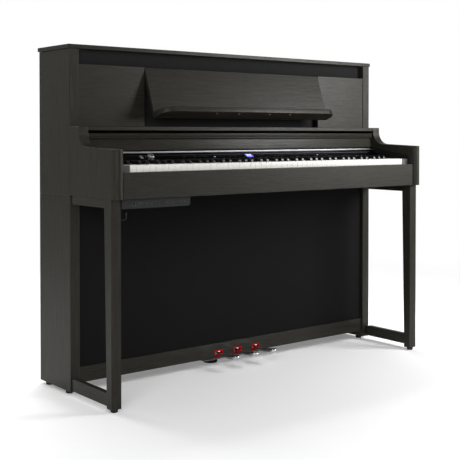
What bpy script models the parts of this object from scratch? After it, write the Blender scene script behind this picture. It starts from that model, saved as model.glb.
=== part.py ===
"""Upright digital piano on its stand: case, keyboard, sliding key cover, music rest and pedals.

Frame: metres, +Z up, X along the keyboard towards the treble end, the player on the -Y side.
The origin is the centre of the overall box at floor level. Every sub-part is one closed body.
"""
import math

import bmesh
import bpy
from mathutils import Matrix, Vector

# ---- driving dimensions -------------------------------------------------------------------
WIDTH = 1.377
DEPTH = 0.468
HEIGHT = 1.118
GAP = 0.0003                     # clearance between pieces that touch

FRONT = -DEPTH / 2
BACK = DEPTH / 2
LID_HALF = WIDTH / 2
CASE_HALF = 0.6833               # outer faces of the case sides, arms and legs
SIDE_BOARD = 0.0343              # thickness of those boards
INNER_HALF = CASE_HALF - SIDE_BOARD
FIT_HALF = INNER_HALF - GAP      # half length of every board that fits between the sides
CASE_FRONT = 0.0270              # front edges of the upper case sides
CASE_BACK = 0.2320

# ---- heights ------------------------------------------------------------------------------
LID_UNDER = 1.1046
PANEL_TOP = 1.0560
SHELF_TOP = 0.8570
SHELF_UNDER = 0.8440
ARM_FRONT_TOP = 0.7866
ARM_BEND_TOP = 0.7930
WHITE_TOP = 0.7380
WHITE_UNDER = 0.7175
BLACK_TOP = 0.7500
KEYBED_UNDER = 0.6375
KEYBED_TOP = 0.6550
SIDE_SPLIT = 0.6340
RAIL_TOP = 0.0855                # pedal rail
RAIL_UNDER = 0.0350

# ---- keyboard -----------------------------------------------------------------------------
WHITE_KEYS = 52
WHITE_PITCH = 0.0235
KEY_GAP = 0.0010
KEY_FRONT = -0.2130
KEY_BACK = 0.0470
BLACK_FRONT = -0.1630
BLACK_BACK = -0.0650             # where the raised part of a black key ends, under the panel
BLACK_HALF = 0.0055
SLOT_HALF = BLACK_HALF + KEY_GAP
BLACK_SHIFT = {"C": -0.0025, "D": 0.0025, "F": -0.0035, "G": 0.0, "A": 0.0035}
KEY_PIVOT = (0.0450, 0.7220)     # Y, Z of the axis that all keys turn on
NOTES = "ABCDEFG"
FIRST_FREE_KEY = 23              # C4: the octave C4 to B4 is hinged key by key
LAST_FREE_KEY = 29

# ---- fittings -----------------------------------------------------------------------------
ARM_NECK = -0.0290               # front of an arm where it meets the shelf
ARM_FRONT = -0.2460
ORIGIN_SHIFT = 0.0060            # lengths below are from the case's mid depth; arm noses stand 12 mm further out
ARM_NOSE = 0.0168               # radius of the upright half-round that ends each arm
BEND_RADIUS = 0.0500
LEG_FRONT = -0.2210
LEG_REAR_TOP = -0.1810
LEG_REAR_FOOT = -0.1940
LEG_RAIL_END = 0.0100
LEG_RAIL_BOARD = 0.0180
REST_HALF = 0.3980
REST_PIVOT = (0.0310, 1.0520)    # Y, Z
REST_OPEN = math.radians(19.5)
REST_BOARD = 0.0120
LEDGE_DEPTH = 0.0580
LEDGE_BOARD = 0.0180
LEDGE_FRONT_HALF = 0.3640
BAFFLE_FRONT = 0.0475
COVER_HALF = 0.6450
COVER_SHAFT = (0.1860, 0.8300)   # Y, Z
SHAFT_RADIUS = 0.0040
PEDAL_PIVOT = (0.1050, 0.0490)   # Y, Z
PEDAL_CENTRES = {"left": -0.0820, "middle": 0.0040, "right": 0.0900}
SLOT_WIDE = 0.0360
SLOT_LOW = 0.0350
SLOT_HIGH = 0.0600
ADJUSTER_CENTRE = (-0.0600, 0.1130, 0)
KNEE_FACE = 0.0380
RAIL_FACE = 0.0340
ROUND_STEPS = 32

SIDES = {"left": -1, "right": 1}


# ---- helpers ------------------------------------------------------------------------------
def clear_scene():
    """Remove every object that the start-up file holds."""
    for thing in list(bpy.data.objects):
        bpy.data.objects.remove(thing, do_unlink=True)


def linear(channel):
    """Turn one sRGB channel, 0 to 1, into its linear value."""
    return channel / 12.92 if channel <= 0.04045 else ((channel + 0.055) / 1.055) ** 2.4


def finish(name, colour, roughness, metallic=0.0):
    """Make a Principled material from an sRGB hex colour."""
    material = bpy.data.materials.new(name)
    material.use_nodes = True
    shader = material.node_tree.nodes["Principled BSDF"]
    rgb = [linear(int(colour[i:i + 2], 16) / 255) for i in (0, 2, 4)]
    shader.inputs["Base Color"].default_value = (*rgb, 1.0)
    shader.inputs["Roughness"].default_value = roughness
    shader.inputs["Metallic"].default_value = metallic
    return material


def add_object(name, mesh_data, look, parent=None):
    """Close a bmesh into a named object that carries its own copy of a finish."""
    bmesh.ops.recalc_face_normals(mesh_data, faces=mesh_data.faces)
    mesh = bpy.data.meshes.new(name)
    mesh_data.to_mesh(mesh)
    mesh_data.free()
    thing = bpy.data.objects.new(name, mesh)
    bpy.context.scene.collection.objects.link(thing)
    if look:
        own = look.copy()
        own.name = name
        mesh.materials.append(own)
    if parent:
        thing.parent = parent
    return thing


def axis_empty(name, location, tilt=0.0, parent=None):
    """Place an empty on a joint axis, turned by tilt about X."""
    empty = bpy.data.objects.new(name, None)
    bpy.context.scene.collection.objects.link(empty)
    empty.location = location
    empty.rotation_euler = (tilt, 0.0, 0.0)
    empty.parent = parent
    return empty


def cuboid(x, y, z):
    """Return a bmesh box between three (low, high) pairs."""
    body = bmesh.new()
    bmesh.ops.create_cube(body, size=1.0)
    for vert in body.verts:
        vert.co = Vector([low + (c + 0.5) * (high - low) for c, (low, high) in zip(vert.co, (x, y, z))])
    return body


def prism_x(outline, x):
    """Return a bmesh prism: a (Y, Z) outline carried from x[0] to x[1]."""
    body = bmesh.new()
    face = body.faces.new([body.verts.new((x[0], y, z)) for y, z in outline])
    moved = bmesh.ops.extrude_face_region(body, geom=[face])["geom"]
    bmesh.ops.translate(body, vec=(x[1] - x[0], 0, 0), verts=[g for g in moved if isinstance(g, bmesh.types.BMVert)])
    return body


def slab(polygons, z):
    """Return a bmesh slab from (X, Y) polygons that share their corners, between two heights."""
    body = bmesh.new()
    corners = {}
    faces = []
    for polygon in polygons:
        ring = []
        for x, y in polygon:
            key = (round(x, 7), round(y, 7))
            if key not in corners:
                corners[key] = body.verts.new((x, y, z[0]))
            ring.append(corners[key])
        faces.append(body.faces.new(ring))
    bmesh.ops.recalc_face_normals(body, faces=body.faces)
    moved = bmesh.ops.extrude_face_region(body, geom=faces)["geom"]
    bmesh.ops.translate(body, vec=(0, 0, z[1] - z[0]), verts=[g for g in moved if isinstance(g, bmesh.types.BMVert)])
    return body


def turned(profile, centre, axis, steps=ROUND_STEPS):
    """Return a bmesh body of revolution: (radius, height) points spun about an axis through centre."""
    body = bmesh.new()
    verts = [body.verts.new((radius, 0, height)) for radius, height in profile]
    edges = [body.edges.new(pair) for pair in zip(verts, verts[1:])]
    bmesh.ops.spin(body, geom=verts + edges, cent=(0, 0, 0), axis=(0, 0, 1), angle=2 * math.pi, steps=steps)
    bmesh.ops.remove_doubles(body, verts=body.verts, dist=1e-6)
    turn = Vector((0, 0, 1)).rotation_difference(Vector(axis)).to_matrix().to_4x4()
    bmesh.ops.transform(body, matrix=Matrix.Translation(Vector(centre)) @ turn, verts=body.verts)
    return body


def soften(thing, width, segments=2):
    """Round every sharp edge of an object with a live Bevel."""
    bevel = thing.modifiers.new("Soft edges", "BEVEL")
    bevel.width = width
    bevel.segments = segments
    bevel.limit_method = "ANGLE"
    bevel.angle_limit = math.radians(35)
    return thing


def combine(thing, body, operation):
    """Join or cut an object with another shape by an exact Boolean; the shape stays as a guide."""
    guide = add_object(f"{thing.name}.guide.{len(thing.modifiers)}", body, None, thing.parent)
    guide.hide_render = True
    guide.display_type = "WIRE"
    boolean = thing.modifiers.new(operation.title(), "BOOLEAN")
    boolean.operation = operation
    boolean.solver = "EXACT"
    boolean.object = guide
    return thing


def cut(thing, body):
    """Cut a shape out of an object."""
    return combine(thing, body, "DIFFERENCE")


def smooth_round(thing, angle=30):
    """Shade a round piece smooth, with its real edges left sharp."""
    thing.data.shade_smooth()
    thing.data.set_sharp_from_angle(angle=math.radians(angle))
    return thing


def span(side, inner, outer):
    """Return the (low, high) X range of a piece between two distances from the middle."""
    return tuple(sorted((side * inner, side * outer)))


def arc(centre, radius, start, end, steps):
    """Return points on a circle between two angles in degrees."""
    angles = [math.radians(start + (end - start) * i / steps) for i in range(steps + 1)]
    return [(centre[0] + radius * math.cos(a), centre[1] + radius * math.sin(a)) for a in angles]


# ---- case ---------------------------------------------------------------------------------
def build_case(wood, charcoal, backing):
    """Sides, lid, front panels, speaker baffle, back and lower panels."""
    groove_z = (COVER_SHAFT[1] - 0.0046, COVER_SHAFT[1] + 0.0046)
    for word, side in SIDES.items():
        upper = add_object(f"side_panel_upper_{word}", cuboid(span(side, INNER_HALF, CASE_HALF),
                           (CASE_FRONT, CASE_BACK), (SIDE_SPLIT + GAP, LID_UNDER - GAP)), wood)
        cut(upper, cuboid(span(side, 0.6400, INNER_HALF + 0.0050), (0.0200, 0.1950), groove_z))
        soften(upper, 0.0012)
        lower = add_object(f"side_panel_lower_{word}", cuboid(span(side, INNER_HALF, CASE_HALF),
                           (CASE_FRONT - 0.0013, CASE_BACK), (0.0120, SIDE_SPLIT)), wood)
        for foot_y in (0.0650, 0.2000):
            foot = turned([(0, 0), (0.0110, 0), (0.0110, 0.0200), (0, 0.0200)],
                          (side * 0.6660, foot_y, 0), (0, 0, 1), 16)
            combine(lower, foot, "UNION")
        soften(lower, 0.0012)
    lid = add_object("top_board", cuboid((-LID_HALF, LID_HALF), (CASE_FRONT - 0.0013, BACK), (LID_UNDER, HEIGHT)), wood)
    soften(lid, 0.0020, 3)
    add_object("speaker_baffle", cuboid((-FIT_HALF, FIT_HALF), (BAFFLE_FRONT, 0.0550),
               (SHELF_TOP + GAP, LID_UNDER - GAP)), charcoal)
    for word, side in SIDES.items():
        panel = add_object(f"front_panel_{word}", cuboid(span(side, REST_HALF + 0.0015, FIT_HALF),
                           (CASE_FRONT + 0.0020, BAFFLE_FRONT - GAP), (SHELF_TOP + GAP, PANEL_TOP)), wood)
        soften(panel, 0.0010)
    back = add_object("back_panel", cuboid((-FIT_HALF, FIT_HALF), (0.2220, 0.2310), (0.0600, LID_UNDER - GAP)), backing)
    cut(back, cuboid((0.4300, 0.4700), (0.2000, 0.2500), (0.6850, 0.7150)))
    shelf = add_object("key_shelf", cuboid((-FIT_HALF, FIT_HALF), (ARM_NECK + 0.0010, 0.0600), (SHELF_UNDER, SHELF_TOP)), wood)
    soften(shelf, 0.0012)
    add_object("knee_panel", cuboid((-FIT_HALF, FIT_HALF), (KNEE_FACE, KNEE_FACE + 0.0090),
               (RAIL_TOP + GAP, KEYBED_UNDER - GAP)), charcoal)
    inlet = add_object("power_inlet", cuboid((0.4310, 0.4690), (0.2050, 0.2335), (0.6860, 0.7140)), backing)
    cut(inlet, cuboid((0.4380, 0.4620), (0.2150, 0.2400), (0.6920, 0.7080)))


def arm_outline():
    """(Y, Z) outline of an arm: level bottom, bullet nose, sloping top and a hollow quarter turn."""
    bend = arc((ARM_NECK - BEND_RADIUS, ARM_BEND_TOP + BEND_RADIUS), BEND_RADIUS, -90, 0, 8)
    return [(CASE_FRONT - GAP, KEYBED_UNDER), (ARM_FRONT, KEYBED_UNDER), (ARM_FRONT, ARM_FRONT_TOP), *bend,
            (ARM_NECK, SHELF_TOP), (CASE_FRONT - GAP, SHELF_TOP)]


def round_front(body, at_y, radius, segments):
    """Round the upright edges of a prism at its frontmost plane."""
    edges = [e for e in body.edges if all(abs(v.co.y - at_y) < 1e-6 for v in e.verts)
             and abs(e.verts[0].co.x - e.verts[1].co.x) < 1e-6]
    bmesh.ops.bevel(body, geom=edges, offset=radius, segments=segments, profile=0.5, affect="EDGES")
    return body


def build_arms_and_legs(wood, rubber):
    """Arms beside the keys, front leg frames below them, and the leg glides."""
    for word, side in SIDES.items():
        x = span(side, INNER_HALF, CASE_HALF)
        arm = add_object(f"arm_{word}", round_front(prism_x(arm_outline(), x), ARM_FRONT, ARM_NOSE, 8), wood)
        cut(arm, cuboid(span(side, 0.6400, INNER_HALF + 0.0050), (-0.0240, 0.0400),
                        (COVER_SHAFT[1] - 0.0046, COVER_SHAFT[1] + 0.0046)))
        soften(arm, 0.0014)
        leg = [(LEG_FRONT, 0.0100), (LEG_REAR_FOOT, 0.0100), (LEG_REAR_TOP, KEYBED_UNDER - GAP),
               (LEG_FRONT, KEYBED_UNDER - GAP)]
        frame = add_object(f"leg_frame_{word}", prism_x(leg, x), wood)
        rail_x = span(side, CASE_HALF - LEG_RAIL_BOARD, CASE_HALF - 0.0002)
        for low, high in ((0.0180, 0.0570), (0.6110, KEYBED_UNDER - GAP)):
            combine(frame, cuboid(rail_x, (-0.2000, LEG_RAIL_END), (low, high)), "UNION")
            tenon = span(side, CASE_HALF - LEG_RAIL_BOARD + 0.0030, CASE_HALF - 0.0040)
            combine(frame, cuboid(tenon, (0.0, CASE_FRONT - 0.0016), (low + 0.003, high - 0.003)), "UNION")
        soften(frame, 0.0010)
        glide = turned([(0, 0), (0.0090, 0), (0.0115, 0.0030), (0.0115, 0.0097), (0, 0.0097)],
                       (side * 0.6660, -0.2080, 0), (0, 0, 1), 24)
        smooth_round(add_object(f"foot_glide_{word}", glide, rubber))


# ---- keyboard -----------------------------------------------------------------------------
def white_span(index):
    """X range of white key number index, counted from the bass end, with its share of the gap."""
    left = (index - WHITE_KEYS / 2) * WHITE_PITCH
    return left + KEY_GAP / 2, left + WHITE_PITCH - KEY_GAP / 2


def black_centre(index):
    """Middle of the black key above white key index, or None where there is none."""
    note = NOTES[index % 7]
    if note not in BLACK_SHIFT.keys() or index >= WHITE_KEYS - 1:
        return None
    return (index + 1 - WHITE_KEYS / 2) * WHITE_PITCH + BLACK_SHIFT[note]


def white_tail(index):
    """X range of the narrow rear part of a white key, between its black neighbours."""
    low, high = white_span(index)
    above = black_centre(index)
    below = black_centre(index - 1) if index > 0 else None
    if above is not None:
        high = min(high, above - SLOT_HALF)
    if below is not None:
        low = max(low, below + SLOT_HALF)
    return low, high


def white_outline(index, rear):
    """(X, Y) outline of a white key: a full-width head and a tail notched for the black keys."""
    low, high = white_span(index)
    tail_low, tail_high = white_tail(index)
    shoulder = BLACK_FRONT - KEY_GAP
    outline = [(low, KEY_FRONT), (high, KEY_FRONT)]
    if tail_high < high:
        outline += [(high, shoulder), (tail_high, shoulder)]
    outline += [(tail_high, rear), (tail_low, rear)]
    if tail_low > low:
        outline += [(tail_low, shoulder), (low, shoulder)]
    return outline


def raise_black(body, centre):
    """Lift the playing part of a black key out of its slab and narrow its top."""
    top = [f for f in body.faces if f.normal.z > 0.9 and abs(f.calc_center_median().x - centre) < BLACK_HALF / 2
           and f.calc_center_median().y < BLACK_BACK]
    moved = bmesh.ops.extrude_face_region(body, geom=top)["geom"]
    for vert in [g for g in moved if isinstance(g, bmesh.types.BMVert)]:
        vert.co.z = BLACK_TOP
        vert.co.x += 0.0010 if vert.co.x < centre else -0.0010
        if vert.co.y < (BLACK_FRONT + BLACK_BACK) / 2:
            vert.co.y += 0.0050
    bmesh.ops.delete(body, geom=[f for f in top if f.is_valid], context="FACES")


def black_outlines(centre, rear):
    """Two (X, Y) rectangles of a black key: its playing part and its tail."""
    low, high = centre - BLACK_HALF, centre + BLACK_HALF
    playing = [(low, BLACK_FRONT), (high, BLACK_FRONT), (high, BLACK_BACK), (low, BLACK_BACK)]
    tail = [(low, BLACK_BACK), (high, BLACK_BACK), (high, rear), (low, rear)]
    return [playing, tail]


def key_name(index, sharp=False):
    """Name a key from its number, such as key_c4 or key_c4_sharp."""
    octave = (index + 5) // 7
    return f"key_{NOTES[index % 7].lower()}{octave}" + ("_sharp" if sharp else "")


def build_free_keys(ivory, ebony):
    """The octave whose keys turn one by one, each with its origin on the key axis."""
    for index in range(FIRST_FREE_KEY, LAST_FREE_KEY + 1):
        low, high = white_span(index)
        home = Vector(((low + high) / 2, *KEY_PIVOT))
        body = slab([white_outline(index, KEY_BACK)], (WHITE_UNDER, WHITE_TOP))
        bmesh.ops.translate(body, vec=-home, verts=body.verts)
        add_object(key_name(index), body, ivory).location = home
        centre = black_centre(index)
        if centre is not None:
            home = Vector((centre, *KEY_PIVOT))
            body = slab(black_outlines(centre, KEY_BACK), (WHITE_UNDER, WHITE_TOP))
            raise_black(body, centre)
            bmesh.ops.translate(body, vec=-home, verts=body.verts)
            add_object(key_name(index, True), body, ebony).location = home


def build_key_block(name, first, last, look):
    """One comb of keys that share a rear bar: white keys first to last with the black keys between."""
    bar_front = KEY_BACK - 0.0150
    teeth = []
    bar_points = []
    centres = []
    for index in range(first, last + 1):
        teeth.append(white_outline(index, bar_front))
        bar_points += [(x, bar_front) for x in white_tail(index)]
        centre = black_centre(index) if index < last or last == WHITE_KEYS - 1 else None
        if centre is not None:
            centres.append(centre)
            teeth += black_outlines(centre, bar_front)
            bar_points += [(centre - BLACK_HALF, bar_front), (centre + BLACK_HALF, bar_front)]
    bar_points.sort()
    bar = bar_points + [(bar_points[-1][0], KEY_BACK), (bar_points[0][0], KEY_BACK)]
    body = slab([*teeth, bar], (WHITE_UNDER, WHITE_TOP))
    for centre in centres:
        raise_black(body, centre)
    add_object(name, body, look)


def build_keyboard(wood, ivory, ebony, steel, charcoal):
    """Keybed, key slip, key frame, end blocks and all keys."""
    keys_half = WHITE_KEYS / 2 * WHITE_PITCH
    slip = add_object("key_slip", cuboid((-FIT_HALF, FIT_HALF), (FRONT, FRONT + 0.0150), (KEYBED_UNDER, WHITE_UNDER)), wood)
    soften(slip, 0.0015, 3)
    add_object("keybed", cuboid((-FIT_HALF, FIT_HALF), (FRONT + 0.0150 + GAP, 0.2210), (KEYBED_UNDER, KEYBED_TOP)), charcoal)
    channel = [(-0.2100, 0.6553), (0.0700, 0.6553), (0.0700, 0.7160), (0.0250, 0.7160), (0.0250, 0.6600),
               (-0.1900, 0.6600), (-0.1900, 0.7000), (-0.2100, 0.7000)]
    add_object("key_frame", prism_x(channel, (-keys_half, keys_half)), steel)
    for word, side in SIDES.items():
        block = add_object(f"key_block_{word}", cuboid(span(side, keys_half + 0.0010, FIT_HALF - 0.0022),
                           (KEY_FRONT, -0.0350), (KEYBED_TOP + GAP, WHITE_TOP)), charcoal)
        soften(block, 0.0020, 3)
    build_free_keys(ivory, ebony)
    build_key_block("keys_low", 0, FIRST_FREE_KEY - 1, ivory)
    build_key_block("keys_high", LAST_FREE_KEY + 1, WHITE_KEYS - 1, ivory)


def build_controls(gloss, metal, button, glass, board):
    """Sloping control panel with its trim strip, power button, volume dial, display and main board."""
    low = Vector((0, -0.0615, 0.7490))
    high = Vector((0, -0.0300, 0.7655))
    slope = (high - low).normalized()
    normal = Vector((0, -slope.z, slope.y))
    under = 0.0040 * normal
    outline = [(low.y, low.z), (high.y, high.z), (high.y, high.z - 0.0045), (low.y - under.y, low.z - under.z)]
    panel = add_object("control_panel", prism_x(outline, (-FIT_HALF, FIT_HALF)), gloss)
    middle = (low + high) / 2

    def on_panel(name, x, half_x, half_run, along=0.0, proud=0.0010, deep=0.0032):
        """A plate let into the panel at x, with the panel cut around it."""
        home = middle + slope * along + Vector((x, 0, 0))
        tilt = math.atan2(slope.z, slope.y)
        turn = Matrix.Translation(home) @ Matrix.Rotation(tilt, 4, "X")
        plate = cuboid((-half_x, half_x), (-half_run, half_run), (-deep, proud))
        hole = cuboid((-half_x - GAP, half_x + GAP), (-half_run - GAP, half_run + GAP), (-0.02, 0.02))
        bmesh.ops.transform(hole, matrix=turn, verts=hole.verts)
        cut(panel, hole)
        return plate, home, tilt

    plate, home, tilt = on_panel("power_button", -0.4615, 0.0055, 0.0095)
    power = add_object("power_button", plate, button)
    power.location = home
    power.rotation_euler = (tilt, 0, 0)
    soften(power, 0.0008)
    plate, home, tilt = on_panel("display_window", -0.0075, 0.0160, 0.0115, 0.0, 0.0002)
    display = add_object("display_window", plate, glass)
    display.location = home
    display.rotation_euler = (tilt, 0, 0)
    home = middle + Vector((-0.4255, 0, 0))
    dial = turned([(0, 0), (0.0110, 0), (0.0110, 0.0070), (0.0095, 0.0085), (0, 0.0085)], (0, 0, 0.0003), (0, 0, 1))
    knob = smooth_round(add_object("volume_dial", dial, button))
    knob.location = home
    knob.rotation_euler = (tilt, 0, 0)
    add_object("panel_trim_strip", cuboid((-FIT_HALF, FIT_HALF), (-0.0300 + GAP, -0.0265), (0.7560, 0.7755)), metal)
    add_object("main_board", cuboid((-0.1500, 0.1500), (0.0900, 0.2000), (0.6610, 0.6700)), board)


# ---- key cover ----------------------------------------------------------------------------
def build_cover(wood, steel):
    """Sliding key cover: a flat board with a deep nose, hinged on a shaft that runs in side grooves."""
    home = (0, *COVER_SHAFT)
    carriage = axis_empty("cover_shaft_axis", home)
    rod = turned([(0, -0.6520), (SHAFT_RADIUS, -0.6520), (SHAFT_RADIUS, 0.6520), (0, 0.6520)], (0, 0, 0), (1, 0, 0), 16)
    smooth_round(add_object("cover_shaft", rod, steel, carriage))
    board = cuboid((-COVER_HALF, COVER_HALF), (-0.1940, -SHAFT_RADIUS - 0.0005), (-0.0040, 0.0045))
    soften(add_object("cover_panel", board, wood, carriage), 0.0010)
    nose = [(-0.0275, 0.8350), (-0.0275, 0.8245), (-0.0255, 0.8224), (-0.0205, 0.8222), (-0.0200, 0.8150),
            (-0.0300, 0.7825), (-0.0310, 0.7820), (-0.0310, 0.7770), (-0.0180, 0.7770), (-0.0085, 0.8120),
            (-0.0085, 0.8350)]
    shifted = [(y - COVER_SHAFT[0], z - COVER_SHAFT[1]) for y, z in nose]
    soften(add_object("cover_nose", prism_x(shifted, (-COVER_HALF, COVER_HALF)), wood, carriage), 0.0006)


# ---- music rest ---------------------------------------------------------------------------
def ledge_outline():
    """(X, Y) outline of the ledge, Y from its pivot: straight front with swept ends."""
    rear = CASE_FRONT + 0.0017 - REST_PIVOT[0]
    front = rear - LEDGE_DEPTH
    sweep = []
    for i in range(9):
        t = i / 8
        start, bend, end = (REST_HALF, rear - 0.0060), (REST_HALF - 0.0040, front + 0.0080), (LEDGE_FRONT_HALF - 0.0100, front)
        sweep.append(tuple((1 - t) ** 2 * a + 2 * t * (1 - t) * b + t * t * c for a, b, c in zip(start, bend, end)))
    return [(REST_HALF, rear), *sweep, *[(-x, y) for x, y in reversed(sweep)], (-REST_HALF, rear)]


def build_music_rest(wood, clip_metal):
    """Music rest, swung open on its top edge, with a ledge and two page holders."""
    pivot = axis_empty("music_rest_axis", (0, *REST_PIVOT), -REST_OPEN)
    front = CASE_FRONT + 0.0020 - REST_PIVOT[0]
    top = PANEL_TOP - 0.0017 - REST_PIVOT[1]
    foot = top - 0.1760
    board = cuboid((-REST_HALF, REST_HALF), (front, front + REST_BOARD), (foot, top))
    soften(add_object("music_rest", board, wood, pivot), 0.0012)
    ledge = add_object("music_rest_ledge", slab([ledge_outline()], (foot, foot + LEDGE_BOARD)), wood, pivot)
    soften(ledge, 0.0010)
    for word, side in SIDES.items():
        hinge = axis_empty(f"page_holder_{word}_axis", (side * 0.1190, front - 0.0480, foot + LEDGE_BOARD + 0.0030), 0, pivot)
        plate = cuboid((-0.0450, 0.0450), (-0.0010, 0.0340), (-0.0026, 0))
        soften(add_object(f"page_holder_{word}", plate, clip_metal, hinge), 0.0006)


# ---- pedals -------------------------------------------------------------------------------
def pedal_profile():
    """(Y, half width, under, top) of a pedal from its hub to its tip, Y and Z from the pivot."""
    tip = [(-0.1820, 0.0030, 0.0035, 0.0065), (-0.1790, 0.0090, 0.0000, 0.0090), (-0.1730, 0.0122, -0.0040, 0.0100),
           (-0.1600, 0.0132, -0.0070, 0.0085), (-0.1450, 0.0130, -0.0085, 0.0060)]
    stem = [(-0.1250, 0.0122, -0.0085, 0.0035), (-0.1000, 0.0112, -0.0065, 0.0025), (-0.0600, 0.0090, -0.0040, 0.0030),
            (-0.0100, 0.0075, -0.0040, 0.0040)]
    return tip + stem


def pedal_body():
    """Loft rounded-rectangle sections along the pedal and end it in a square hub."""
    body = bmesh.new()
    rings = []
    for y, half, under, top in pedal_profile():
        crown = 0.6 * half
        section = [(-half, under), (half, under), (half, top - 0.0010), (crown, top), (-crown, top), (-half, top - 0.0010)]
        rings.append([body.verts.new((x, y, z)) for x, z in section])
    hub = [(-0.0075, -0.0060), (0.0075, -0.0060), (0.0075, 0.0060), (0.0045, 0.0060), (-0.0045, 0.0060), (-0.0075, 0.0060)]
    for y in (-0.0080, 0.0080):
        rings.append([body.verts.new((x, y, z)) for x, z in hub])
    for near, far in zip(rings, rings[1:]):
        for i in range(6):
            j = (i + 1) % 6
            body.faces.new((near[i], near[j], far[j], far[i]))
    body.faces.new(rings[0])
    body.faces.new(rings[-1])
    return body


def build_pedals(wood, chrome, steel, rubber):
    """Pedal rail with three slots, the pedals, their bracket and the height adjuster."""
    rail = add_object("pedal_rail", cuboid((-FIT_HALF, FIT_HALF), (RAIL_FACE, RAIL_FACE + 0.0160), (RAIL_UNDER, RAIL_TOP)), wood)
    for x in PEDAL_CENTRES.values():
        cut(rail, cuboid((x - SLOT_WIDE / 2, x + SLOT_WIDE / 2), (0.0200, 0.0700), (SLOT_LOW + 0.0040, SLOT_HIGH)))
    soften(rail, 0.0008)
    bracket = add_object("pedal_bracket", cuboid((-0.1350, 0.1430), (0.0503, 0.1300), (0.0230, 0.0260)), steel)
    screw_hole = turned([(0, 0), (0.0066, 0), (0.0066, 0.0500), (0, 0.0500)], ADJUSTER_CENTRE, (0, 0, 1), 24)
    for x in PEDAL_CENTRES.values():
        for side in (-1, 1):
            ear = span(side, 0.0080, 0.0120)
            combine(bracket, cuboid((x + ear[0], x + ear[1]), (0.0900, 0.1200), (0.0250, 0.0600)), "UNION")
    cut(bracket, screw_hole)
    for word, x in PEDAL_CENTRES.items():
        lever = smooth_round(add_object(f"pedal_{word}", pedal_body(), chrome), 40)
        lever.location = (x, *PEDAL_PIVOT)
    foot = turned([(0, 0), (0.0240, 0), (0.0260, 0.0020), (0.0260, 0.0120), (0.0120, 0.0160), (0.0060, 0.0160),
                   (0.0060, 0.0420), (0, 0.0420)], ADJUSTER_CENTRE, (0, 0, 1), 24)
    smooth_round(add_object("pedal_adjuster", foot, rubber))


# ---- sockets, hook and speakers -----------------------------------------------------------
def build_fittings(plastic, steel, dark):
    """Jack box under the keybed, headphone hook and the two speaker drivers."""
    top = KEYBED_UNDER - GAP
    box_x = (-FIT_HALF + 0.0009, -0.3950)
    face = -0.2230
    radius = 0.0080
    corner = arc((box_x[1] - radius, 0.6080 + radius), radius, -90, 0, 4)
    outline = [(box_x[0], 0.6080), *corner, (box_x[1], top), (box_x[0], top)]
    body = bmesh.new()
    front = body.faces.new([body.verts.new((x, face, z)) for x, z in outline])
    moved = bmesh.ops.extrude_face_region(body, geom=[front])["geom"]
    bmesh.ops.translate(body, vec=(0, 0.0700, 0), verts=[g for g in moved if isinstance(g, bmesh.types.BMVert)])
    box = add_object("jack_box", body, plastic)
    for x in (-0.5150, -0.4900, -0.4370):
        hole = turned([(0, -0.0010), (0.0036, -0.0010), (0.0036, 0.0140), (0, 0.0140)], (x, face, 0.6225), (0, 1, 0), 12)
        cut(box, hole)
    cut(box, cuboid((-0.6090, -0.5990), (-0.2400, face + 0.0100), (0.6180, 0.6270)))
    cut(box, cuboid((-0.5865, -0.5735), (-0.2400, face + 0.0120), (0.6200, 0.6255)))
    soften(box, 0.0006)
    path = [(-INNER_HALF + GAP, 0.5740), *arc((-0.6270, 0.5810), 0.0070, -90, 0, 5), (-0.6200, 0.5940)]
    curve = bpy.data.curves.new("headphone_hook", "CURVE")
    curve.dimensions = "3D"
    curve.bevel_depth = 0.0020
    curve.bevel_resolution = 2
    curve.use_fill_caps = True
    wire = curve.splines.new("POLY")
    wire.points.add(len(path) - 1)
    for point, (x, z) in zip(wire.points, path):
        point.co = (x, -0.2040, z, 1)
    hook = bpy.data.objects.new("headphone_hook", curve)
    bpy.context.scene.collection.objects.link(hook)
    own = steel.copy()
    own.name = "headphone_hook"
    curve.materials.append(own)
    cone = [(0, 0.0100), (0.0200, 0.0100), (0.0660, 0), (0.0800, 0), (0.0800, 0.0050), (0.0680, 0.0080), (0.0450, 0.0350),
            (0.0450, 0.0600), (0, 0.0600)]
    for word, side in SIDES.items():
        driver = turned(cone, (side * 0.4200, KNEE_FACE + 0.0090 + GAP, 0.4500), (0, 1, 0))
        smooth_round(add_object(f"speaker_{word}", driver, dark))


def main():
    """Build every sub-part."""
    clear_scene()
    wood = finish("laminate", "3c3c37", 0.55)
    charcoal = finish("charcoal board", "232325", 0.7)
    backing = finish("backing board", "1c1c1c", 0.8)
    rubber = finish("black rubber", "101010", 0.7)
    ivory = finish("white key", "f4f3ee", 0.3)
    ebony = finish("black key", "141414", 0.4)
    steel = finish("steel", "8a8c8e", 0.35, 1.0)
    gloss = finish("gloss black", "060606", 0.08)
    metal = finish("satin aluminium", "b4b4b4", 0.35, 1.0)
    button = finish("silver button", "c8c8ca", 0.3, 0.8)
    glass = finish("display glass", "1a1c3c", 0.1)
    board = finish("circuit board", "1d4a2c", 0.5)
    chrome = finish("chrome", "d8d8d8", 0.08, 1.0)
    plastic = finish("grey plastic", "3c3c3e", 0.5)
    dark = finish("driver basket", "1a1a1a", 0.5)
    build_case(wood, charcoal, backing)
    build_arms_and_legs(wood, rubber)
    build_keyboard(wood, ivory, ebony, steel, charcoal)
    build_controls(gloss, metal, button, glass, board)
    build_cover(wood, steel)
    build_music_rest(wood, metal)
    build_pedals(wood, chrome, steel, rubber)
    build_fittings(plastic, steel, dark)
    for thing in bpy.context.scene.objects:
        if thing.parent is None:
            thing.location.y += ORIGIN_SHIFT


main()
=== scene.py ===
"""Looks of the digital piano: laminate case, keyboard, controls, music rest, pedals and fittings.

Everything is in metres in the CAD frame: X towards the treble end, the player at -Y, +Z up.
"""
import math

import bmesh
import bpy
import numpy as np
from mathutils import Matrix, Vector


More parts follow.
